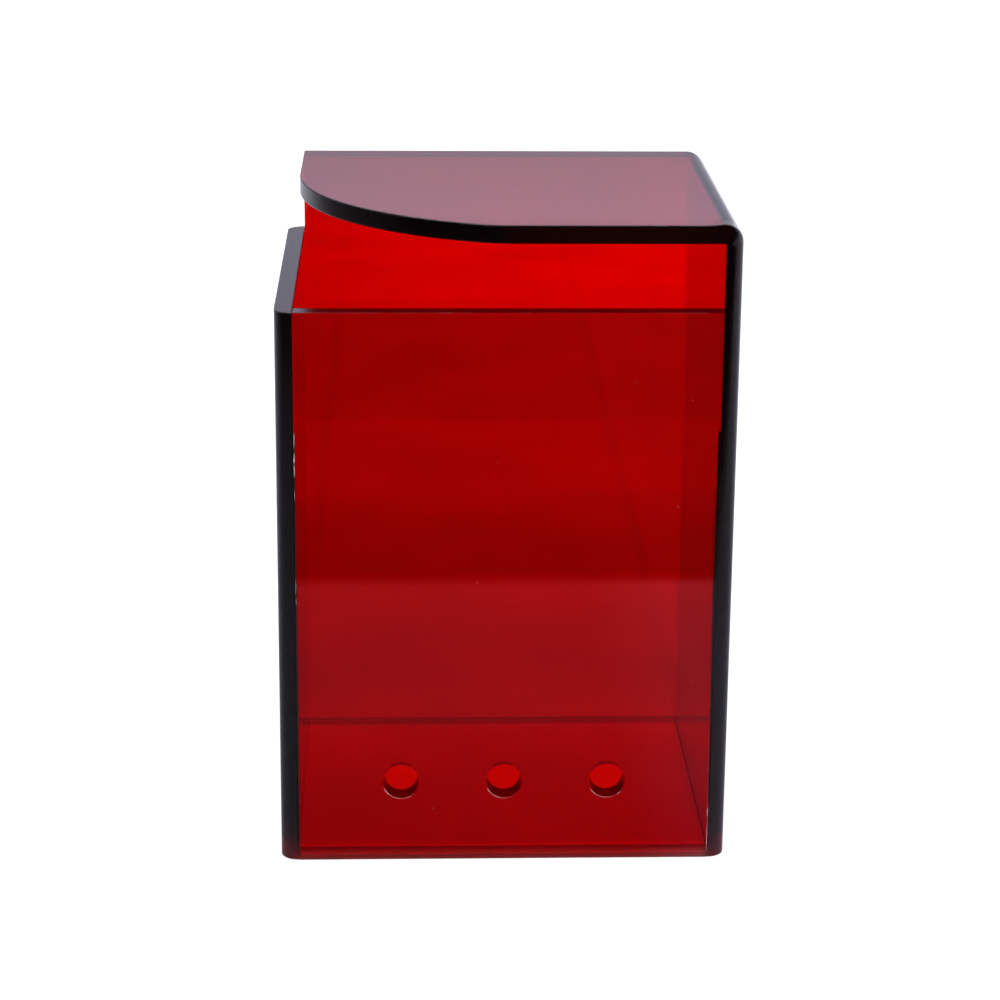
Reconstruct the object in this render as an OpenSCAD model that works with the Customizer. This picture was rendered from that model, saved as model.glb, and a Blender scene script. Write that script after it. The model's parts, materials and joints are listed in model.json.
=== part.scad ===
// Playing-card holder made of cut, bent and solvent-welded acrylic sheet.
// Origin: centre of the footprint on the table, +X to the right, +Y to the back, +Z up.
// The card pile stands between the walls; the front panel and the left wall stop short of
// the top, so that hands and eyes reach the pile from the front and from the left.

/* [Overall size] */
// Width across the outer faces of the two side walls
body_w = 100; // [94:1:130]
// Depth from the front face to the rear face
body_d = 82; // [74:1:120]
// Height from the table to the outside of the top
body_h = 146; // [110:1:260]
// Height left open between the front panel and the top's upper face
open_h = 19; // [12:1:60]

/* [Sheet] */
// Thickness of the sheet that the walls, panels and top are cut from
sheet_t = 4; // [3:0.5:5]
// Thickness of the thinner sheet that the base plate is cut from
base_t = 2; // [1.5:0.5:4]
// Inside radius of the heat bend between the right wall and the top
bend_inner_r = 0.5; // [0.3:0.1:2]
// Share of the sheet's thickness taken by the rounding of the walls' outer upright edges
edge_round = 0.95; // [0.2:0.05:0.95]

/* [Curved corner of the top] */
// Radius of the long curve that replaces the top's front left corner
curve_r = 60; // [50:1:66]
// Angle that the long curve would make with the front edge where it reaches it
curve_front_angle = 15; // [5:1:18]
// Angle that the long curve would make with the left edge where it reaches it
curve_side_angle = 11; // [5:0.5:18]
// Radius that eases the long curve into the front edge
front_ease_r = 20; // [5:1:30]
// Radius that eases the long curve into the left edge
side_ease_r = 55; // [5:1:57]

/* [Fixing holes in the front panel] */
// Number of holes in the row
hole_count = 3; // [1:1:3]
// Diameter of each hole
hole_d = 8; // [4:0.5:12]
// Distance from one hole's axis to the next
hole_pitch = 23; // [16:1:30]
// Height of the holes' axes above the table
hole_z = 19; // [12:0.5:40]

/* [Hidden] */
$fn = 96;

acrylic = [0.72, 0.02, 0.04, 0.62];
base_acrylic = [0.62, 0.02, 0.04, 0.62];

front_y = -body_d / 2;
rear_y = body_d / 2;
inner_w = body_w - 2 * sheet_t;
inner_d = body_d - 2 * sheet_t;
front_h = body_h - open_h;
under_top_z = body_h - sheet_t;
edge_r = edge_round * sheet_t;
bend_outer_r = bend_inner_r + sheet_t;
bend_x = inner_w / 2 - bend_inner_r;
bend_z = under_top_z - bend_inner_r;

// Centre of the long curve of the top, and the unit angles where the easing arcs take over
curve_x = curve_r * cos(curve_side_angle) - inner_w / 2;
curve_y = front_y + curve_r * cos(curve_front_angle);
front_ease_gap = curve_r - front_ease_r;
side_ease_gap = curve_r - side_ease_r;
front_ease_angle = acos((curve_r * cos(curve_front_angle) - front_ease_r) / front_ease_gap);
side_ease_angle = acos((curve_r * cos(curve_side_angle) - side_ease_r) / side_ease_gap);
front_ease_x = curve_x - front_ease_gap * sin(front_ease_angle);
side_ease_y = curve_y - side_ease_gap * sin(side_ease_angle);
side_ease_centre = [side_ease_r - inner_w / 2, side_ease_y];
curve_front_end = [curve_x - curve_r * sin(front_ease_angle), curve_y - curve_r * cos(front_ease_angle)];
curve_side_end = [curve_x - curve_r * cos(side_ease_angle), curve_y - curve_r * sin(side_ease_angle)];

// What the rounding takes off the front and rear outer corners of the right wall, seen from above.
module rounded_off_corners() {
    for (end = [0, 1]) {
        mirror([0, end]) translate([body_w / 2 - edge_r, rear_y - edge_r]) difference() {
            square(edge_r + 1);
            circle(edge_r);
        }
    }
}

// Outline of the top seen from above, from the left edge to the line where the bend ends.
module top_outline() {
    corner = [-inner_w / 2, front_y];
    translate([front_ease_x, front_y]) square([body_w / 2 - front_ease_x, body_d]);
    translate([-inner_w / 2, side_ease_y]) square([body_w / 2, rear_y - side_ease_y]);
    polygon([
        [front_ease_x, front_y], [front_ease_x, side_ease_y], [-inner_w / 2, side_ease_y],
        curve_side_end, curve_front_end
    ]);
    translate([front_ease_x, front_y + front_ease_r]) circle(front_ease_r);
    intersection() {
        translate(side_ease_centre) circle(side_ease_r);
        polygon([[-inner_w / 2, side_ease_y], corner, curve_side_end, side_ease_centre]);
    }
    intersection() {
        translate([curve_x, curve_y]) circle(curve_r);
        polygon([corner, curve_front_end, curve_side_end]);
    }
}

// End view of the bent sheet: wall, quarter-round bend and top in one thickness.
module bent_profile() {
    translate([bend_x + bend_inner_r, 0]) square([sheet_t, bend_z]);
    translate([-inner_w / 2, under_top_z]) square([bend_x + inner_w / 2, sheet_t]);
    intersection() {
        translate([bend_x, bend_z]) difference() {
            circle(bend_outer_r);
            circle(bend_inner_r);
        }
        translate([bend_x, bend_z]) square(bend_outer_r + 1);
    }
}

// Left side wall, as tall as the front panel.
module left_wall() {
    color(acrylic) mirror([1, 0, 0]) linear_extrude(front_h) difference() {
        translate([inner_w / 2, front_y]) square([sheet_t, body_d]);
        rounded_off_corners();
    }
}

// Right side wall and top, one sheet bent along its upper right edge.
module right_wall_and_top() {
    color(acrylic) intersection() {
        translate([0, rear_y, 0]) rotate([90, 0, 0]) linear_extrude(body_d) bent_profile();
        linear_extrude(body_h) difference() {
            top_outline();
            rounded_off_corners();
        }
    }
}

// Front panel, set between the side walls, with a row of drilled holes near its foot.
module front_panel() {
    color(acrylic) difference() {
        translate([-inner_w / 2, front_y, 0]) cube([inner_w, sheet_t, front_h]);
        for (i = [0 : hole_count - 1]) {
            translate([(i - (hole_count - 1) / 2) * hole_pitch, front_y - 1, hole_z])
                rotate([-90, 0, 0]) cylinder(h = sheet_t + 2, d = hole_d);
        }
    }
}

// Back panel, set between the side walls and up to the underside of the top. Its upper
// right corner is clipped to clear the inside of the bend.
module back_panel() {
    color(acrylic)
        translate([0, rear_y, 0]) rotate([90, 0, 0]) linear_extrude(sheet_t) polygon([
            [-inner_w / 2, 0], [inner_w / 2, 0], [inner_w / 2, bend_z],
            [bend_x, under_top_z], [-inner_w / 2, under_top_z]
        ]);
}

// Base plate that the cards stand on, set inside the four walls.
module base_plate() {
    color(base_acrylic) translate([-inner_w / 2, -inner_d / 2, 0]) cube([inner_w, inner_d, base_t]);
}

left_wall();
right_wall_and_top();
front_panel();
back_panel();
base_plate();
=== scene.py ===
import json
import math

import bmesh
import bpy
from mathutils import Matrix, Vector, noise


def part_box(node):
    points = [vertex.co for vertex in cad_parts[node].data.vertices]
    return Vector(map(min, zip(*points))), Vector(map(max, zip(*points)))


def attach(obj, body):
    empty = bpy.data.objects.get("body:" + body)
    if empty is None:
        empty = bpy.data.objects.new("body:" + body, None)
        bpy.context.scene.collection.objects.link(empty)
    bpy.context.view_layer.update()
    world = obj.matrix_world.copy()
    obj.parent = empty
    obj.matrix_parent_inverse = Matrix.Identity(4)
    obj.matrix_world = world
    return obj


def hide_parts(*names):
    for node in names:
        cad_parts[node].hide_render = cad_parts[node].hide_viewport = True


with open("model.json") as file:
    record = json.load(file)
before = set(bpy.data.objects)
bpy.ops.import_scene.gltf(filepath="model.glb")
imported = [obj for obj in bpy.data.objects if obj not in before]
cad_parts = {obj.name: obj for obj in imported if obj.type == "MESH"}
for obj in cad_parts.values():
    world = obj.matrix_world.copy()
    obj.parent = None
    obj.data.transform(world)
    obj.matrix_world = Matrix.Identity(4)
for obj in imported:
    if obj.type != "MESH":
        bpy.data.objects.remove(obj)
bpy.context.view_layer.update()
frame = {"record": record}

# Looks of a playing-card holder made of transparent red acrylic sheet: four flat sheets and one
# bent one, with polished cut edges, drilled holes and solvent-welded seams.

MM = 0.001

# ---------------------------------------------------------------- sizes

left_low, left_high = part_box("left_wall")
bent_low, bent_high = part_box("right_wall_and_top")
front_low, front_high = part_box("front_panel")
back_low, back_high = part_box("back_panel")
base_low, base_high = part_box("base_plate")
mounts = {m["name"]: m for m in frame["record"]["mounts"]}

SHEET = back_high.y - back_low.y
EDGE_R = 0.95 * SHEET          # rounding of the walls' outer upright edges
ARRIS = 0.22 * MM              # eased corner of an exposed cut edge
CURVE_ARRIS = 1.3 * ARRIS      # the same along the top's long curve, on the upper face
CRISP = 0.06 * MM              # corner of an edge that is left sharp, or welded to another sheet
CRISP_SIDE = (CRISP, CRISP)    # outer and inner corner of such a side
WELD = 0.02 * MM               # how far the solvent has melted one sheet into the next
BURR = 0.5 * MM                # rounding of the holes' rims on the inside of the front panel
RIM = 0.03 * MM                # rounding of the holes' rims on the outside
NECK = 0.6 * MM                # how much the drill left the holes narrower towards the inside
REAR_LIFT = 0.5 * MM           # how much higher the left wall stands at its rear end
BEAD_R = 0.25 * MM             # bead of melted acrylic along the base plate's right seam
BEND_INNER_R = 0.5 * MM
LIP_RISE = 0.28 * MM           # the bend swells outwards at its front end
LIP_RUN = 1.9 * MM             # how far the swelling reaches round the bend
LIP_REACH = 2.2 * MM           # how far it reaches from the front edge
CURVE_R = 60 * MM              # long curve at the top's front left corner
CURVE_FRONT_ANGLE = math.radians(15)
CURVE_SIDE_ANGLE = math.radians(11)
FRONT_EASE_R = 20 * MM         # radii that ease the curve into the straight edges
SIDE_EASE_R = 55 * MM

middle_hole = mounts["middle_fixing_hole"]
HOLE_R = middle_hole["dims"]["r_mm"] * MM
HOLE_PITCH = mounts["outer_fixing_holes"]["dims"]["spacing_x_mm"] / 2 * MM
hole_centres = [Vector((middle_hole["pos_m"][0] + k * HOLE_PITCH, middle_hole["pos_m"][2]))
                for k in (-1, 0, 1)]

# Steps of the rounded shapes.
ROUND_STEPS = 14               # a quarter turn of a wall's upright edge
ARRIS_STEPS = 3                # an eased corner
BEND_STEPS = 28
HOLE_STEPS = 96
EASE_STEPS = 10                # the front end of the long curve
CURVE_STEPS = 40
MERGE = 0.004 * MM             # rings of points closer than this become one
SMOOTH_BELOW = math.radians(38)

# Roughness of the sheets' cut sides and of what is ground, which the mesh attribute "matt" holds.
DRILLED = 0.12
POLISHED = 0.17
BEADED = 0.25
SCRAPED = 0.32
FROSTED_ABOVE = 0.45           # sides rougher than this also stop a little light
MATT = 0.62
GROUND = 1.0


# ---------------------------------------------------------------- camera

def make_camera():
    """Stands a little left of centre and above the holder, looking down at it."""
    place = Vector((-22.2, -593.0, 269.0)) * MM
    pitch, yaw, roll = (math.radians(a) for a in (16.283, 2.223, 0.567))
    # Focal length and optical centre, as shares of the frame's side.
    focal, centre = 2.6849, Vector((0.50437, 0.40042))
    data = bpy.data.cameras.new("camera")
    data.sensor_fit = "HORIZONTAL"
    data.sensor_width = 36.0
    data.lens = focal * data.sensor_width
    data.shift_x = 0.5 - centre.x
    data.shift_y = centre.y - 0.5
    data.clip_start = 0.01
    camera = bpy.data.objects.new("camera", data)
    turn = (Matrix.Rotation(-yaw, 4, "Z") @ Matrix.Rotation(math.pi / 2 - pitch, 4, "X")
            @ Matrix.Rotation(roll, 4, "Z"))
    camera.matrix_world = Matrix.Translation(place) @ turn
    bpy.context.scene.collection.objects.link(camera)
    bpy.context.scene.camera = camera


make_camera()


# ---------------------------------------------------------------- node helpers

def new_material(name):
    material = bpy.data.materials.new(name)
    material.use_nodes = True
    tree = material.node_tree
    tree.nodes.clear()
    output = tree.nodes.new("ShaderNodeOutputMaterial")
    return material, tree, output


def add_node(tree, kind, inputs=None, **settings):
    """A node with plain settings, and inputs that are values or other nodes' sockets."""
    node = tree.nodes.new(kind)
    for key, value in settings.items():
        setattr(node, key, value)
    for key, value in (inputs or {}).items():
        if isinstance(value, bpy.types.NodeSocket):
            tree.links.new(value, node.inputs[key])
        else:
            node.inputs[key].default_value = value
    return node


def ramp(tree, source, stops):
    """A colour ramp; stops are (place, grey or colour)."""
    node = add_node(tree, "ShaderNodeValToRGB", {"Fac": source})
    elements = node.color_ramp.elements
    while len(elements) < len(stops):
        elements.new(0.5)
    for element, (place, colour) in zip(elements, stops):
        element.position = place
        grey = isinstance(colour, (int, float))
        element.color = (colour, colour, colour, 1) if grey else (*colour, 1)
    return node.outputs["Color"]


def maths(tree, operation, a, b, clamp=False):
    return add_node(tree, "ShaderNodeMath", {0: a, 1: b}, operation=operation,
                    use_clamp=clamp).outputs[0]


def noise_texture(tree, place, scale, detail, roughness=0.5):
    return add_node(tree, "ShaderNodeTexNoise", {
        "Vector": place, "Scale": scale, "Detail": detail, "Roughness": roughness}).outputs["Fac"]


def mix(tree, share, first, second, blend="MIX"):
    """A colour that goes from the first to the second; either is a socket or plain numbers."""
    first, second = (c if isinstance(c, bpy.types.NodeSocket) else (*c, 1) for c in (first, second))
    return add_node(tree, "ShaderNodeMix", {0: share, 6: first, 7: second},
                    data_type="RGBA", blend_type=blend).outputs[2]


def stretch(tree, value, low, high, to_low=0.0, to_high=1.0):
    return add_node(tree, "ShaderNodeMapRange", {
        "Value": value, "From Min": low, "From Max": high,
        "To Min": to_low, "To Max": to_high}).outputs[0]


# ---------------------------------------------------------------- materials

RED_LOSS = 120.0               # how fast the dye takes up red light, per metre
OTHER_LOSS = 2500.0            # the same for green and blue light
ACRYLIC_IOR = 1.49
HAIR_GLOSS = 0.06              # roughness of the hairline marks
SPECK_SHARE = 0.2              # share of the light that a speck of dust stops
FROST_SHARE = 0.08             # the same for matt cut sides


def acrylic(name):
    """Cast acrylic dyed red: clear through its faces, nearly black along its length."""
    material, tree, output = new_material(name)
    place = add_node(tree, "ShaderNodeTexCoord").outputs["Object"]
    matt = add_node(tree, "ShaderNodeAttribute", attribute_name="matt").outputs["Fac"]

    # Hairline wiping marks and a few specks of dust on the faces.
    turned = add_node(tree, "ShaderNodeMapping", {
        "Vector": place, "Rotation": (0.4, 0.9, 0.3), "Scale": (2600, 90, 240)}).outputs[0]
    hair = ramp(tree, noise_texture(tree, turned, 1.0, 2.0), [(0.66, 0.0), (0.72, 1.0)])
    specks = add_node(tree, "ShaderNodeTexVoronoi", {"Vector": place, "Scale": 160.0})
    speck = ramp(tree, specks.outputs["Distance"], [(0.010, 1.0), (0.02, 0.0)])

    # Fine marks of the saw and the polishing wheel on the cut edges, and slow waves on the faces.
    grain = noise_texture(tree, place, 1500.0, 3.0, 0.6)
    waves = noise_texture(tree, place, 55.0, 1.0)

    face_rough = maths(tree, "MULTIPLY", hair, HAIR_GLOSS)
    uneven = maths(tree, "ADD", maths(tree, "MULTIPLY", grain, 0.8), 0.6)
    edge_rough = maths(tree, "MULTIPLY", matt, uneven)
    rough = maths(tree, "ADD", face_rough, edge_rough, clamp=True)
    colour = ramp(tree, grain, [(0.3, (1.0, 1.0, 1.0)), (0.8, (0.97, 0.955, 0.955))])
    frost = stretch(tree, matt, FROSTED_ABOVE, MATT, 0.0, FROST_SHARE)
    dust = maths(tree, "MULTIPLY", speck, SPECK_SHARE)
    clear = maths(tree, "SUBTRACT", 1.0, maths(tree, "MAXIMUM", frost, dust))

    soft_bump = add_node(tree, "ShaderNodeBump", {
        "Strength": 0.05, "Distance": 0.1 * MM, "Height": waves})
    edge_height = maths(tree, "MULTIPLY", grain, matt)
    bump = add_node(tree, "ShaderNodeBump", {
        "Strength": 0.25, "Distance": 0.02 * MM, "Height": edge_height,
        "Normal": soft_bump.outputs[0]})

    shader = add_node(tree, "ShaderNodeBsdfPrincipled", {
        "Base Color": colour, "Roughness": rough, "IOR": ACRYLIC_IOR,
        "Transmission Weight": clear, "Normal": bump.outputs[0]})
    dye = add_node(tree, "ShaderNodeVolumeAbsorption", {
        "Color": (1 - RED_LOSS / OTHER_LOSS, 0.0, 0.0, 1.0), "Density": OTHER_LOSS})
    tree.links.new(shader.outputs[0], output.inputs["Surface"])
    tree.links.new(dye.outputs[0], output.inputs["Volume"])
    return material


# ---------------------------------------------------------------- sheet building

def set_back(height, thickness, outer_r, inner_r):
    """How far a cut side stands back at this height through the sheet, where its edges round."""
    over = height - (thickness - outer_r)
    under = inner_r - height
    if over > 0:
        return outer_r - math.sqrt(max(outer_r ** 2 - over ** 2, 0.0))
    if under > 0:
        return inner_r - math.sqrt(max(inner_r ** 2 - under ** 2, 0.0))
    return 0.0


def levels(thickness, outer_radii, inner_r):
    """Heights through the sheet at which its sides have a ring of points."""
    found = [0.0, thickness]
    for radius in outer_radii:
        steps = ROUND_STEPS if radius == EDGE_R else ARRIS_STEPS
        found += [thickness - radius * (1 - math.sin(math.pi / 2 * k / steps)) for k in range(steps)]
    found += [inner_r * (1 - math.sin(math.pi / 2 * k / ARRIS_STEPS)) for k in range(ARRIS_STEPS)]
    kept = []
    for height in sorted(found):
        if not kept or height - kept[-1] > MERGE:
            kept.append(height)
    kept[-1] = thickness
    return kept


def corner(point, first, second, matt=POLISHED):
    """Points round an outline's square corner. first and second are the sides that meet there,
    in the order the outline runs, each (outward direction, outer radius, inner radius), and
    matt is the roughness of the second one."""
    centre = Vector(point) - Vector(first[0]) * ARRIS - Vector(second[0]) * ARRIS
    found = []
    for k in range(ARRIS_STEPS + 1):
        angle = math.pi / 2 * k / ARRIS_STEPS
        reach = Vector(first[0]) * math.cos(angle) + Vector(second[0]) * math.sin(angle)
        found.append((centre + reach * ARRIS, (first, second), matt))
    return found


def rectangle(low, high, sides=(CRISP_SIDE,) * 4):
    """Outline of a rectangle; sides are the (outer radius, inner radius) of its low v, high u,
    high v and low u sides. The first is matt, and the others are polished."""
    bottom, right, top, left = (
        (away, *radii) for away, radii in zip(((0, -1), (1, 0), (0, 1), (-1, 0)), sides))
    return (corner((high[0], low[1]), bottom, right) + corner(high, right, top)
            + corner((low[0], high[1]), top, left) + corner(low, left, bottom, MATT))


def ring_points(outline, height, thickness, neck):
    """The outline's points at this height through the sheet, moved by its eased edges."""
    found = []
    for point, sides, _ in outline:
        moved = Vector(point)
        for direction, outer_r, inner_r in sides:
            step = set_back(height, thickness, outer_r, inner_r) - neck * (1 - height / thickness)
            moved -= Vector(direction) * step
        found.append(moved)
    return found


def add_rings(bm, outline, heights, thickness, place, neck=0.0):
    """Rings of points up the cut side of a sheet, joined by faces that know their roughness.
    neck is how much further out the side stands on the inner face than on the outer one."""
    matt = bm.faces.layers.float["matt"]
    rings = []
    for height in heights:
        flat = ring_points(outline, height, thickness, neck)
        rings.append([bm.verts.new(place(p.x, p.y, height)) for p in flat])
    count = len(outline)
    for below, above in zip(rings, rings[1:]):
        for k in range(count):
            after = (k + 1) % count
            face = bm.faces.new((below[k], below[after], above[after], above[k]))
            face[matt] = outline[k][2]
    return rings


def fill(bm, loops, matt=0.0):
    """Closes a flat face of the sheet whose border and holes are these loops of points. A face
    with holes is always polished."""
    if len(loops) == 1:
        bm.faces.new(loops[0])[bm.faces.layers.float["matt"]] = matt
        return
    edges = []
    for loop in loops:
        edges += [bm.edges.get((a, b)) for a, b in zip(loop, loop[1:] + loop[:1])]
    bmesh.ops.triangle_fill(bm, use_beauty=True, use_dissolve=False, edges=edges)


def tube(bm, rings):
    """Joins rings of as many points each, and closes both ends."""
    for here, after in zip(rings, rings[1:]):
        for j in range(len(here)):
            following = (j + 1) % len(here)
            bm.faces.new((here[j], here[following], after[following], after[j]))
    bm.faces.new(rings[0])
    bm.faces.new(rings[-1][::-1])


def finish_mesh(name, bm, material):
    """Turns the mesh into a piece with crisp corners and true flat faces."""
    bmesh.ops.recalc_face_normals(bm, faces=bm.faces)
    mesh = bpy.data.meshes.new(name)
    bm.to_mesh(mesh)
    bm.free()
    mesh.materials.append(material)
    mesh.shade_smooth()
    mesh.set_sharp_from_angle(angle=SMOOTH_BELOW)
    piece = bpy.data.objects.new(name, mesh)
    bpy.context.scene.collection.objects.link(piece)
    weighted = piece.modifiers.new("weighted", "WEIGHTED_NORMAL")
    weighted.keep_sharp = True
    weighted.weight = 100
    bpy.context.view_layer.objects.active = piece
    bpy.ops.object.modifier_apply(modifier=weighted.name)
    return piece


def new_sheet():
    bm = bmesh.new()
    bm.faces.layers.float.new("matt")
    return bm


def flat_sheet(name, outline, thickness, place, material, holes=(), inner_matt=0.0):
    """A sheet with this outline. place takes (u, v, height above the inner face) to its place."""
    radii = {side[1] for _, sides, _ in outline for side in sides}
    inner_r = max(side[2] for _, sides, _ in outline for side in sides)
    heights = levels(thickness, radii, inner_r)
    bm = new_sheet()
    borders = [add_rings(bm, outline, heights, thickness, place)]
    borders += [add_rings(bm, hole, heights, thickness, place, NECK) for hole in holes]
    fill(bm, [rings[0] for rings in borders], inner_matt)
    fill(bm, [rings[-1] for rings in borders])
    return finish_mesh(name, bm, material)


# ---------------------------------------------------------------- the flat sheets

def make_left_wall(material):
    rounded, exposed, foot = (EDGE_R, CRISP), (CRISP, ARRIS), (ARRIS, CRISP)
    outline = rectangle((left_low.y, left_low.z), (left_high.y, left_high.z),
                        (foot, rounded, exposed, rounded))
    # The upper edge, whose points are those well above the foot, rises to the rear.
    rise = REAR_LIFT / (left_high.y - left_low.y)
    outline = [(Vector((p.x, p.y + rise * (p.x - left_low.y) * (p.y > SHEET))), *rest)
               for p, *rest in outline]
    return flat_sheet("acrylic_left_wall", outline, SHEET,
                      lambda u, v, n: (left_high.x - n, u, v), material)


def make_front_panel(material):
    outline = rectangle((front_low.x - WELD, front_low.z), (front_high.x + WELD, front_high.z))
    holes = [drilled_hole(centre, seed) for seed, centre in enumerate(hole_centres, start=1)]
    return flat_sheet("acrylic_front_panel", outline, SHEET,
                      lambda u, v, n: (u, front_high.y - n, v), material, holes)


def drilled_hole(centre, seed):
    """Outline of a hole, run clockwise, with a rim that is chipped at its lower left."""
    chip_size, chip_spread, chips_round = 0.12 * MM, 0.10 * MM, 5
    found = []
    for k in range(HOLE_STEPS):
        angle = -2 * math.pi * k / HOLE_STEPS
        across, up = math.cos(angle), math.sin(angle)
        chips = noise.noise(Vector((across * chips_round, up * chips_round, seed * 7.3)))
        lower_left = max(0.0, -up - 0.8 * across) * max(0.0, -up)
        rim = RIM + lower_left * (chip_size + chip_spread * chips)
        inward = Vector((-across, -up))
        found.append((centre - inward * HOLE_R, ((inward, rim, BURR),), DRILLED))
    return found


def make_back_panel(material):
    outline = rectangle((back_low.x - WELD, back_low.z), (back_high.x + WELD, back_high.z - WELD))
    # Its left side is free above the left wall, and its corners are eased there, between these
    # heights above the left wall's top in millimetres.
    left = (-1, 0)
    welded, free = (left, *CRISP_SIDE), (left, ARRIS, ARRIS)
    lower_left = outline[-ARRIS_STEPS - 1:]
    outline = outline[:-ARRIS_STEPS - 1]
    outline += [(Vector((back_low.x - WELD, left_high.z + height * MM)), (side,), POLISHED)
                for height, side in ((14.0, welded), (13.6, free), (1.2, free), (0.8, welded))]
    outline += lower_left
    return flat_sheet("acrylic_back_panel", outline, SHEET,
                      lambda u, v, n: (u, back_low.y + n, v), material)


def make_base_plate(material):
    # The sawn front side stands just clear of the front panel; the other three are welded.
    outline = rectangle((base_low.x - WELD, base_low.y + WELD),
                        (base_high.x + WELD, base_high.y + WELD))
    return flat_sheet("acrylic_base_plate", outline, base_high.z - base_low.z,
                      lambda u, v, n: (u, v, base_low.z + n), material, inner_matt=GROUND)


# ---------------------------------------------------------------- the bent sheet

bend_x = bent_high.x - SHEET - BEND_INNER_R
bend_z = bent_high.z - SHEET - BEND_INNER_R
bend_length = math.pi / 2 * (BEND_INNER_R + SHEET / 2)
run_to_bend = bend_z - bent_low.z
run_to_top = run_to_bend + bend_length


def fold(run, y, height):
    """Takes a point of the sheet laid flat, run up the wall from its foot, to its folded place."""
    if height > SHEET / 2:
        near = math.exp(-((run - run_to_top) / LIP_RUN) ** 2)
        height += near * LIP_RISE * math.exp(-((y - bent_low.y) / LIP_REACH) ** 2)
    reach = BEND_INNER_R + height
    if run <= run_to_bend:
        return (bend_x + reach, y, bent_low.z + run)
    if run >= run_to_top:
        return (bend_x - (run - run_to_top), y, bend_z + reach)
    angle = (run - run_to_bend) / bend_length * math.pi / 2
    return (bend_x + reach * math.cos(angle), y, bend_z + reach * math.sin(angle))


def run_of(x):
    return run_to_top + bend_x - x


def upright_rounding(run):
    """The rounding of the wall's upright edges, which is gone four fifths of the way round the bend."""
    share = min(max((run - run_to_bend) / (0.8 * bend_length), 0.0), 1.0)
    return EDGE_R + (ARRIS - EDGE_R) * share * share * (3 - 2 * share)


def curved_corner():
    """The top's front left corner: a long curve with an easing arc at each end."""
    front_gap, side_gap = CURVE_R - FRONT_EASE_R, CURVE_R - SIDE_EASE_R
    front_turn = math.acos((CURVE_R * math.cos(CURVE_FRONT_ANGLE) - FRONT_EASE_R) / front_gap)
    side_turn = math.acos((CURVE_R * math.cos(CURVE_SIDE_ANGLE) - SIDE_EASE_R) / side_gap)
    centre = Vector((bent_low.x + CURVE_R * math.cos(CURVE_SIDE_ANGLE),
                     bent_low.y + CURVE_R * math.cos(CURVE_FRONT_ANGLE)))
    front_centre = Vector((centre.x - front_gap * math.sin(front_turn), bent_low.y + FRONT_EASE_R))
    side_centre = Vector((bent_low.x + SIDE_EASE_R, centre.y - side_gap * math.sin(side_turn)))
    arcs = ((front_centre, FRONT_EASE_R, 0.0, front_turn, EASE_STEPS),
            (centre, CURVE_R, front_turn, math.pi / 2 - side_turn, CURVE_STEPS),
            (side_centre, SIDE_EASE_R, math.pi / 2 - side_turn, math.pi / 2, CURVE_STEPS))
    found = []
    for middle, radius, start, end, steps in arcs:
        for k in range(1, steps + 1):
            angle = start + (end - start) * k / steps
            outward = Vector((-math.sin(angle), -math.cos(angle)))
            point = middle + outward * radius
            side = ((-outward.x, outward.y), CURVE_ARRIS, ARRIS)
            found.append((Vector((run_of(point.x), point.y)), (side,), POLISHED))
    return front_centre.x, found


def make_right_wall_and_top(material):
    curve_start_x, curve = curved_corner()
    # Where the sheet has a row of points across it, closest where it bends and swells.
    wall_runs = [f * run_to_bend for f in (0.2, 0.4, 0.6, 0.8, 0.9, 0.95, 0.975, 0.99)]
    bend_runs = [run_to_bend + bend_length * k / BEND_STEPS for k in range(BEND_STEPS + 1)]
    top_runs = [run_to_top + step * MM for step in (0.4, 0.8, 1.2, 1.7, 2.3, 3.0, 4.0, 6.0, 12.0)]
    runs = wall_runs + bend_runs + top_runs + [run_of(curve_start_x)]
    end_run = run_of(bent_low.x)

    def side(y_direction, run):
        return ((0, y_direction), upright_rounding(run), CRISP)

    foot = ((-1, 0), ARRIS, CRISP)
    left_end = ((1, 0), ARRIS, ARRIS)
    outline = corner((0.0, bent_low.y), foot, side(-1, 0.0))
    first_front = len(outline)
    outline += [(Vector((run, bent_low.y)), (side(-1, run),), POLISHED) for run in runs]
    outline += curve
    outline += corner((end_run, bent_high.y), left_end, side(1, end_run), SCRAPED)
    first_rear = len(outline)
    outline += [(Vector((run, bent_high.y)), (side(1, run),),
                 SCRAPED if run > run_to_top else POLISHED) for run in reversed(runs)]
    outline += corner((0.0, bent_high.y), side(1, 0.0), foot, MATT)

    heights = levels(SHEET, {EDGE_R, CURVE_ARRIS}, ARRIS)
    bm = new_sheet()
    rings = add_rings(bm, outline, heights, SHEET, fold)
    # Both faces get columns of points near the upright edges, so that they bend cleanly.
    inward = [step * MM for step in (4.6, 6.5, 10.0, 18.0)]
    columns = [bent_low.y + step for step in inward]
    columns += [bent_high.y - step for step in reversed(inward)]
    last_rear = first_rear + len(runs) - 1
    for ring, height in ((rings[0], heights[0]), (rings[-1], heights[-1])):
        rows = []
        for k, run in enumerate(runs):
            middle = [bm.verts.new(fold(run, y, height)) for y in columns]
            rows.append([ring[first_front + k]] + middle + [ring[last_rear - k]])
        for here, after in zip(rows, rows[1:]):
            for k in range(len(here) - 1):
                bm.faces.new((here[k], here[k + 1], after[k + 1], after[k]))
        bm.faces.new(rows[0] + ring[last_rear + 1:] + ring[:first_front])
        bm.faces.new(rows[-1][::-1] + ring[first_front + len(runs):first_rear])
    return finish_mesh("acrylic_right_wall_and_top", bm, material)


# ---------------------------------------------------------------- welded seams

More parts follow.
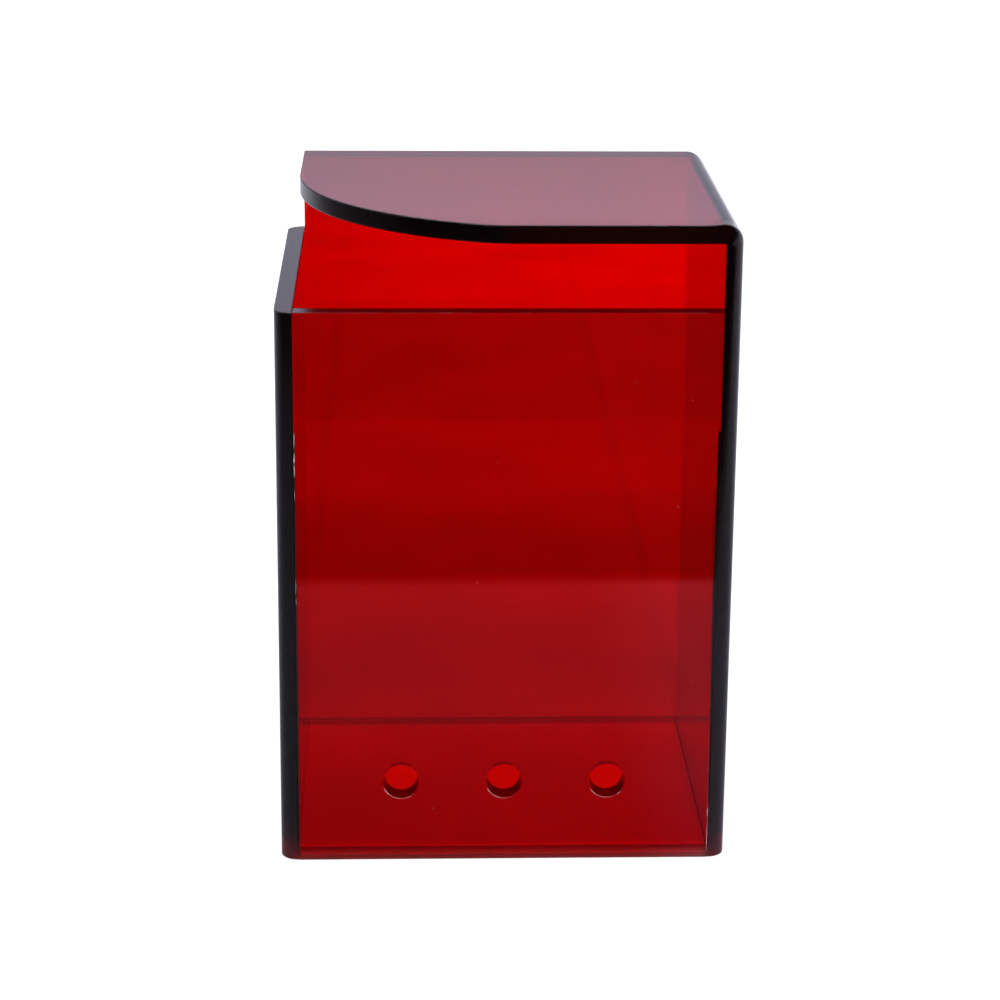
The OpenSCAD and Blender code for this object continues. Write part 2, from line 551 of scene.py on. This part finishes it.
def make_right_bead(material):
    """The bead of melted acrylic along the base plate's right seam, which shows from in front."""
    steps, arc_steps = 60, 6
    bm = new_sheet()
    rings = []
    for k in range(steps + 1):
        y = base_low.y + (base_high.y - base_low.y) * k / steps
        place = Vector((base_high.x, y, base_high.z))
        swell = 0.12 * noise.noise(place * 120 + Vector((5.0, 0, 0)))
        r = BEAD_R * (1 + swell)
        section = [(-WELD, -WELD), (r, -WELD)]
        section += [(r * (1 - math.sin(a)), r * (1 - math.cos(a)))
                    for a in (math.pi / 2 * j / arc_steps for j in range(arc_steps + 1))]
        section.append((-WELD, r))
        rings.append([bm.verts.new(place + Vector((-u, 0, v))) for u, v in section])
    tube(bm, rings)
    for face in bm.faces:
        face[bm.faces.layers.float["matt"]] = BEADED
    return finish_mesh("seam_bead_right", bm, material)


def residue(name, colour, clear, gloss=0.5):
    """Dried solvent, cement or chipped acrylic, or black painted shade in the seams' voids: rough and
    broken up. clear is about the share of the light that goes through it."""
    material, tree, output = new_material(name)
    place = add_node(tree, "ShaderNodeTexCoord").outputs["Object"]
    grain = noise_texture(tree, place, 2600.0, 3.0, 0.7)
    tint = ramp(tree, grain, [(0.25, tuple(0.55 * c for c in colour)), (0.65, colour)])
    rough = stretch(tree, grain, 0.2, 0.8, 0.35, 0.75)
    through = stretch(tree, grain, 0.3, 0.7, 1.6 * clear, 0.4 * clear) if clear > 0 else 0.0
    bump = add_node(tree, "ShaderNodeBump", {
        "Strength": 0.6, "Distance": 0.05 * MM, "Height": grain})
    shader = add_node(tree, "ShaderNodeBsdfPrincipled", {
        "Base Color": tint, "Roughness": rough, "IOR": ACRYLIC_IOR, "Specular IOR Level": gloss,
        "Transmission Weight": through, "Normal": bump.outputs[0]})
    tree.links.new(shader.outputs[0], output.inputs["Surface"])
    return material


def add_flake(bm, points, width, depth, seed):
    """A thin ragged flake along a line of (place, sideways, outward) points, tapered at its ends."""
    count = len(points)
    rings = []
    for k, (place, sideways, outward) in enumerate(points):
        share = math.sin(math.pi * (k + 0.35) / (count - 0.3))
        ragged = 0.7 + 0.6 * noise.noise(Vector(place) * 1900 + Vector((seed, seed, 0)))
        half = max(0.5 * width * share * ragged, 0.01 * MM)
        lift = depth * (0.6 + 0.4 * share)
        corners = ((-half, -lift), (half, -lift), (0.7 * half, lift), (-0.7 * half, lift))
        rings.append([bm.verts.new(Vector(place) + Vector(sideways) * a + Vector(outward) * b)
                      for a, b in corners])
    tube(bm, rings)


def make_rim_chips(material):
    """Chips along the lower front rim of each drilled hole, heaviest at the lower left."""
    # Start and end of each chip round the rim in degrees, clockwise from 3 o'clock, and its width
    # in millimetres.
    chips = (((52, 84, 0.06), (84, 112, 0.10), (106, 128, 0.14), (122, 158, 0.26)),
             ((78, 102, 0.08), (98, 128, 0.16), (124, 154, 0.26)),
             ((36, 58, 0.14), (70, 98, 0.06), (94, 122, 0.10), (118, 150, 0.22)))
    steps, beyond_rim, depth = 12, 0.14 * MM, 0.05 * MM
    bm = bmesh.new()
    for k, (centre, row) in enumerate(zip(hole_centres, chips)):
        for start, end, width in row:
            points = []
            for j in range(steps + 1):
                angle = -math.radians(start + (end - start) * j / steps)
                away = Vector((math.cos(angle), 0, math.sin(angle)))
                place = Vector((centre.x, front_low.y + RIM, centre.y))
                place += away * (HOLE_R + beyond_rim)
                points.append((place, away, (0, -1, 0)))
            add_flake(bm, points, width * MM, depth, k * 3.1 + start)
    return finish_mesh("rim_chips", bm, material)


def make_seam_residue(material):
    """Dried solvent along the upright seams between the front panel and the side walls."""
    # Side, lowest and highest point of each fleck, and its width, in millimetres.
    flecks = ((-1, 96.8, 100.4, 0.22), (-1, 93.2, 95.9, 0.30), (-1, 90.4, 93.1, 0.28),
              (-1, 84.9, 87.6, 0.10), (-1, 63.4, 67.0, 0.13), (-1, 61.2, 62.6, 0.17),
              (1, 9.8, 12.2, 0.24), (1, 0.9, 9.2, 0.12))
    steps, inset, depth, proud = 14, 0.10 * MM, 0.02 * MM, 0.005 * MM
    bm = bmesh.new()
    for side, low, high, width in flecks:
        x = (front_low.x if side < 0 else front_high.x) - side * inset
        points = []
        for j in range(steps + 1):
            z = (low + (high - low) * j / steps) * MM
            sway = inset * noise.noise(Vector((low, z * 900, side)))
            points.append(((x + sway, front_low.y - proud, z), (1, 0, 0), (0, -1, 0)))
        add_flake(bm, points, width * MM, depth, low)
    return finish_mesh("seam_residue", bm, material)


# Each void or run of cement in the front panel's side seams: its side, lowest and highest point,
# near side, and far side at the foot and at the top, measured inwards from the seam, in millimetres.
# The voids are drawn black: painted shade, where no light comes through the unbonded seam.
VOID_SHADE = ((1, 67.2, 100.6, 0.0, 0.50, 0.50), (1, 67.0, 88.0, 0.78, 0.88, 0.86))
CEMENT_RIGHT = ((1, 14.0, 67.2, 0.0, 0.10, 0.62),)
CEMENT_LEFT = ((-1, 1.0, 40.0, 0.0, 0.32, 0.42), (-1, 40.0, 100.0, 0.0, 0.42, 0.36))


def make_seam_fills(name, fills, material):
    """Long thin strips just inside the front panel's side seams: runs of cement, and black painted
    shade in the voids.
    """
    steps, raggedness = 20, 0.05
    front, behind = front_low.y + 0.04 * MM, front_low.y + 0.30 * MM
    bm = bmesh.new()
    for side, low, high, near, far_low, far_high in fills:
        seam_x = front_high.x if side > 0 else front_low.x
        rings = []
        for k in range(steps + 1):
            share = k / steps
            z = (high + (low - high) * share) * MM
            ragged = raggedness * noise.noise(Vector((3.7, z * 300, near)))
            far = far_high + (far_low - far_high) * share + ragged
            far_x = seam_x - side * far * MM
            near_x = seam_x - side * (near + ragged if near > 0 else 0.0) * MM
            rings.append([bm.verts.new((x, y, z)) for x, y in (
                (far_x, front), (near_x, front), (near_x, behind), (far_x, behind))])
        tube(bm, rings)
    return finish_mesh(name, bm, material)


# ---------------------------------------------------------------- the studio

FLOOR_SIZE = 6.0               # side of the square floor, in metres


def plane(name, z, material, seen_by):
    """A flat square of the studio that only these kinds of ray see."""
    mesh = bpy.data.meshes.new(name)
    half = FLOOR_SIZE / 2
    mesh.from_pydata([(-half, -half, z), (half, -half, z), (half, half, z), (-half, half, z)],
                     [], [(0, 1, 2, 3)])
    mesh.materials.append(material)
    piece = bpy.data.objects.new(name, mesh)
    bpy.context.scene.collection.objects.link(piece)
    for ray in ("camera", "diffuse", "glossy", "transmission", "shadow", "volume_scatter"):
        setattr(piece, "visible_" + ray, ray in seen_by)


def make_floor():
    """A pale floor, lit evenly from below like a light table, with a little shade on top."""
    material, tree, output = new_material("pale_floor")
    glow = add_node(tree, "ShaderNodeEmission", {"Color": (1, 1, 1, 1), "Strength": 0.9})
    matt = add_node(tree, "ShaderNodeBsdfDiffuse", {"Color": (0.2, 0.2, 0.2, 1)})
    both = add_node(tree, "ShaderNodeAddShader", {0: glow.outputs[0], 1: matt.outputs[0]})
    tree.links.new(both.outputs[0], output.inputs["Surface"])
    plane("floor", -0.1 * MM, material, ("camera", "diffuse", "shadow"))


def floor_place(tree):
    """X and Y on the floor, in metres, as sockets."""
    place = add_node(tree, "ShaderNodeTexCoord").outputs["Object"]
    split = add_node(tree, "ShaderNodeSeparateXYZ", {"Vector": place})
    return place, split.outputs["X"], split.outputs["Y"]


def glowing_plane(name, z, tree, material, output, colour, strength, ray):
    """A plane that glows with this colour and strength, and that only one kind of ray sees."""
    glow = add_node(tree, "ShaderNodeEmission", {"Color": colour, "Strength": strength})
    tree.links.new(glow.outputs[0], output.inputs["Surface"])
    plane(name, z, material, (ray,))


def contact_shade(tree, across, along, beside):
    """The contact shadow under the side walls and the back panel, as a factor. beside is the
    distance out from the base plate's sides."""
    behind = maths(tree, "SUBTRACT", along, base_high.y)
    on_left = stretch(tree, across, -0.001, 0.001, 1.0, 0.0)
    right_seam = stretch(tree, beside, -0.0020, -0.0004, 1.0, 0.80)
    seam_side = maths(tree, "MAXIMUM", right_seam, on_left)
    under_side = stretch(tree, beside, 0.0004, 0.0012, 1.0, 0.16)
    past = maths(tree, "MAXIMUM", stretch(tree, beside, 0.0036, 0.0050, 0.0, 1.0),
                 stretch(tree, behind, 0.0050, 0.0068, 0.0, 1.0))
    sides = maths(tree, "MAXIMUM", maths(tree, "MULTIPLY", seam_side, under_side), past)
    under_back = maths(tree, "MAXIMUM", stretch(tree, behind, -0.0034, -0.0024, 1.0, 0.50), past)
    return maths(tree, "MINIMUM", sides, under_back)


def make_refracted_floor():
    """What is seen of the floor through the sheets, with light and shade painted on it: paler and
    darker bands, a contact shadow and a bright strip.
    """
    material, tree, output = new_material("refracted_floor")
    place, across, along = floor_place(tree)
    low, high = -0.05, 0.65
    # Distance behind the middle of the holder, and the painted brightness there.
    bands = ((-0.041, 0.92), (-0.0388, 0.92), (-0.0325, 0.80), (-0.02, 0.81), (0.0, 0.885),
             (0.023, 1.04), (0.035, 1.08), (0.043, 0.92), (0.055, 0.88), (0.08, 0.84), (0.12, 0.95),
             (0.138, 1.04), (0.146, 0.80), (0.152, 0.67), (0.185, 0.72), (0.210, 0.86), (0.232, 0.98),
             (0.302, 0.99), (0.312, 0.86), (0.36, 0.86), (0.45, 0.87), (0.48, 1.03), (0.52, 1.05),
             (0.65, 1.05))
    tone = ramp(tree, stretch(tree, along, low, high),
                [((y - low) / (high - low), value) for y, value in bands])
    cloud = stretch(tree, noise_texture(tree, place, 22.0, 2.0), 0.25, 0.75, 0.90, 1.10)
    # Painted light and shade: the floor is brighter to the right, and darkest far behind on the left.
    light_slope = stretch(tree, across, -0.10, 0.10, 0.90, 1.12)
    shade_far_left = maths(tree, "MAXIMUM", stretch(tree, along, 0.45, 0.47, 1.0, 0.0),
                     stretch(tree, across, -0.085, -0.03, 0.80, 1.0))
    light_slope = maths(tree, "MULTIPLY", light_slope, shade_far_left)
    beside = maths(tree, "SUBTRACT", maths(tree, "ABSOLUTE", across, 0.0), base_high.x)
    shade = contact_shade(tree, across, along, beside)
    # A painted strip of light: under the base plate's front side the floor is bright, from one side
    # wall to the other.
    between = stretch(tree, beside, -0.0004, 0.0004, 1.0, 0.0)
    glint = ramp(tree, stretch(tree, along, -0.0388, -0.0325), [
        (0.0, 0.0), (0.222, 0.343), (0.476, 0.680), (0.762, 0.207), (1.0, 0.0)])
    brighter = maths(tree, "ADD", 1.0, maths(tree, "MULTIPLY", glint, between))
    tone = maths(tree, "MULTIPLY", tone, brighter)
    strength = maths(tree, "MULTIPLY", maths(tree, "MULTIPLY", tone, cloud),
                     maths(tree, "MULTIPLY", light_slope, shade))
    glowing_plane("refracted_floor", -0.15 * MM, tree, material, output, (1, 1, 1, 1), strength,
                  "transmission")


def mirrored_beside(tree, place, across, along, low, high):
    """Painted reflections of the floor to both sides of the holder: paler near it, and pale behind."""
    reach = add_node(tree, "ShaderNodeVectorMath", {0: place, 1: (0.0, front_low.y, 0.0)},
                     operation="DISTANCE").outputs["Value"]
    share = stretch(tree, reach, 0.0, 0.7)
    near_left = ramp(tree, share, [
        (0.0, (0.33, 0.31, 0.38)), (0.255, (0.33, 0.31, 0.38)), (0.27, (0.30, 0.27, 0.33)),
        (0.54, (0.24, 0.20, 0.24)), (0.66, (0.055, 0.04, 0.045)), (0.8, (0.03, 0.01, 0.012))])
    near_right = ramp(tree, share, [
        (0.0, (0.42, 0.38, 0.47)), (0.255, (0.42, 0.38, 0.47)), (0.27, (0.34, 0.30, 0.35)),
        (0.6, (0.42, 0.37, 0.42)), (0.75, (0.52, 0.42, 0.48)), (1.0, (0.46, 0.36, 0.42))])
    # Far in front on the right, and far to the left, the floor is out of the light.
    lit_right = stretch(tree, along, -0.34, -0.20)
    near_right = mix(tree, lit_right, (0.03, 0.012, 0.012), near_right)
    on_right = stretch(tree, across, -0.001, 0.001)
    near = mix(tree, on_right, near_left, near_right)
    beside = ramp(tree, stretch(tree, along, low, high), [
        (0.25, (0.0, 0.0, 0.0)), (0.34, (0.20, 0.19, 0.22)), (0.459, (0.36, 0.35, 0.42)),
        (0.55, (0.46, 0.45, 0.54)), (0.8, (0.66, 0.65, 0.75))])
    unlit_left = stretch(tree, across, -0.62, -0.45, 0.12, 1.0)
    beside = mix(tree, unlit_left, (0.02, 0.006, 0.007), beside)
    brightness = maths(tree, "ADD", 1.0, maths(tree, "MULTIPLY", on_right, 0.25))
    return mix(tree, 1.0, near, beside, "LIGHTEN"), brightness


def make_mirrored_floor():
    """Painted reflections: what the polished faces mirror of the floor, dim straight in front,
    with paler floor to both sides and behind."""
    material, tree, output = new_material("mirrored_floor")
    place, across, along = floor_place(tree)
    low, high = -0.5, 0.5
    middle = ramp(tree, stretch(tree, along, low, high), [
        (0.0, (0.12, 0.010, 0.012)), (0.276, (0.12, 0.010, 0.012)), (0.279, (0.125, 0.125, 0.17)),
        (0.375, (0.12, 0.12, 0.165)), (0.39, (0.065, 0.062, 0.10)), (0.453, (0.028, 0.022, 0.050)),
        (0.4555, (0.30, 0.30, 0.33)), (0.52, (0.40, 0.39, 0.47)), (0.8, (0.66, 0.65, 0.75))])
    sides, sides_lit = mirrored_beside(tree, place, across, along, low, high)
    # The dim part widens to the front; its two borders, as sideways steps for each step forwards.
    right_spread, left_spread = 0.1232, -0.0435
    ahead = maths(tree, "SUBTRACT", front_low.y, along)
    right = maths(tree, "ADD", maths(tree, "MULTIPLY", ahead, right_spread), front_high.x)
    left = maths(tree, "ADD", maths(tree, "MULTIPLY", ahead, left_spread), front_low.x)
    off_right = stretch(tree, maths(tree, "SUBTRACT", across, right), -0.0005, 0.001)
    off_left = stretch(tree, maths(tree, "SUBTRACT", left, across), -0.0005, 0.001)
    aside = maths(tree, "MAXIMUM", off_right, off_left)
    # A brighter painted reflection lies over its right part, and grows towards the holder.
    reflection_share = stretch(tree, across, 0.030, 0.052)
    reflection_rise = stretch(tree, along, -0.125, -0.085, 0.8, 2.8)
    reflection_gain = maths(tree, "ADD", 1.0, maths(tree, "MULTIPLY", reflection_share, reflection_rise))
    strength = add_node(tree, "ShaderNodeMix", {0: aside, 2: reflection_gain, 3: sides_lit},
                        data_type="FLOAT").outputs[0]
    glowing_plane("mirrored_floor", -0.2 * MM, tree, material, output,
                  mix(tree, aside, middle, sides), strength, "glossy")


def make_world():
    world = bpy.data.worlds.new("studio")
    world.use_nodes = True
    tree = world.node_tree
    tree.nodes.clear()
    direction = add_node(tree, "ShaderNodeTexCoord").outputs["Generated"]
    split = add_node(tree, "ShaderNodeSeparateXYZ", {"Vector": direction})
    tone = ramp(tree, split.outputs["Z"], [
        (0.0, (0.50, 0.49, 0.57)), (0.15, (0.45, 0.44, 0.55)), (0.193, (0.51, 0.50, 0.63)),
        (0.212, (0.63, 0.59, 0.76)), (0.30, (0.62, 0.59, 0.74)), (0.7, (1.0, 1.0, 1.05)),
        (0.9, (1.6, 1.6, 1.6)), (1.0, (2.6, 2.6, 2.6))])
    # A soft light on each side: the right one is the brighter.
    lit_right = stretch(tree, split.outputs["X"], 0.25, 0.75, 1.0, 1.7)
    lit_left = stretch(tree, split.outputs["X"], -0.75, -0.25, 1.3, 1.0)
    strength = maths(tree, "MULTIPLY", lit_right, lit_left)
    background = add_node(tree, "ShaderNodeBackground", {"Color": tone, "Strength": strength})
    output = tree.nodes.new("ShaderNodeOutputWorld")
    tree.links.new(background.outputs[0], output.inputs["Surface"])
    bpy.context.scene.world = world


def set_light_paths():
    """Light bounces many times between the sheets' faces before it comes out of an edge."""
    cycles = bpy.context.scene.cycles
    cycles.max_bounces = 40
    cycles.glossy_bounces = 32
    cycles.transmission_bounces = 40
    cycles.transparent_max_bounces = 16
    cycles.sample_clamp_indirect = 10.0
    bpy.context.scene.view_settings.view_transform = "Standard"


# ---------------------------------------------------------------- assembly

red_sheet = acrylic("red_acrylic_sheet")
red_base = acrylic("red_acrylic_base")
for build, node, slot, material in (
    (make_left_wall, "left_wall", "red_acrylic", red_sheet),
    (make_right_wall_and_top, "right_wall_and_top", "red_acrylic", red_sheet),
    (make_front_panel, "front_panel", "red_acrylic", red_sheet),
    (make_back_panel, "back_panel", "red_acrylic", red_sheet),
    (make_base_plate, "base_plate", "red_acrylic_base", red_base),
):
    piece = build(material)
    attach(piece, "root")
    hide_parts(node)

pale_residue = residue("pale_residue", (0.95, 0.72, 0.72), 0.25)
pink_chips = residue("pink_chips", (1.0, 0.52, 0.54), 0.25)
# Painted shade: black for the voids in the right seam, where no light comes through.
painted_void_shade = residue("painted_void_shade", (0.006, 0.0008, 0.0006), 0.0, gloss=0.0)
brown_cement = residue("brown_cement", (0.060, 0.010, 0.010), 0.0, gloss=0.0)
red_cement = residue("red_cement", (0.14, 0.028, 0.028), 0.0, gloss=0.0)
details = [
    make_right_bead(red_sheet),
    make_rim_chips(pink_chips),
    make_seam_residue(pale_residue),
    make_seam_fills("seam_void_shade", VOID_SHADE, painted_void_shade),
    make_seam_fills("seam_cement_right", CEMENT_RIGHT, brown_cement),
    make_seam_fills("seam_cement_left", CEMENT_LEFT, red_cement),
]
for piece in details:
    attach(piece, "root")

make_floor()
make_refracted_floor()
make_mirrored_floor()
make_world()
set_light_paths()
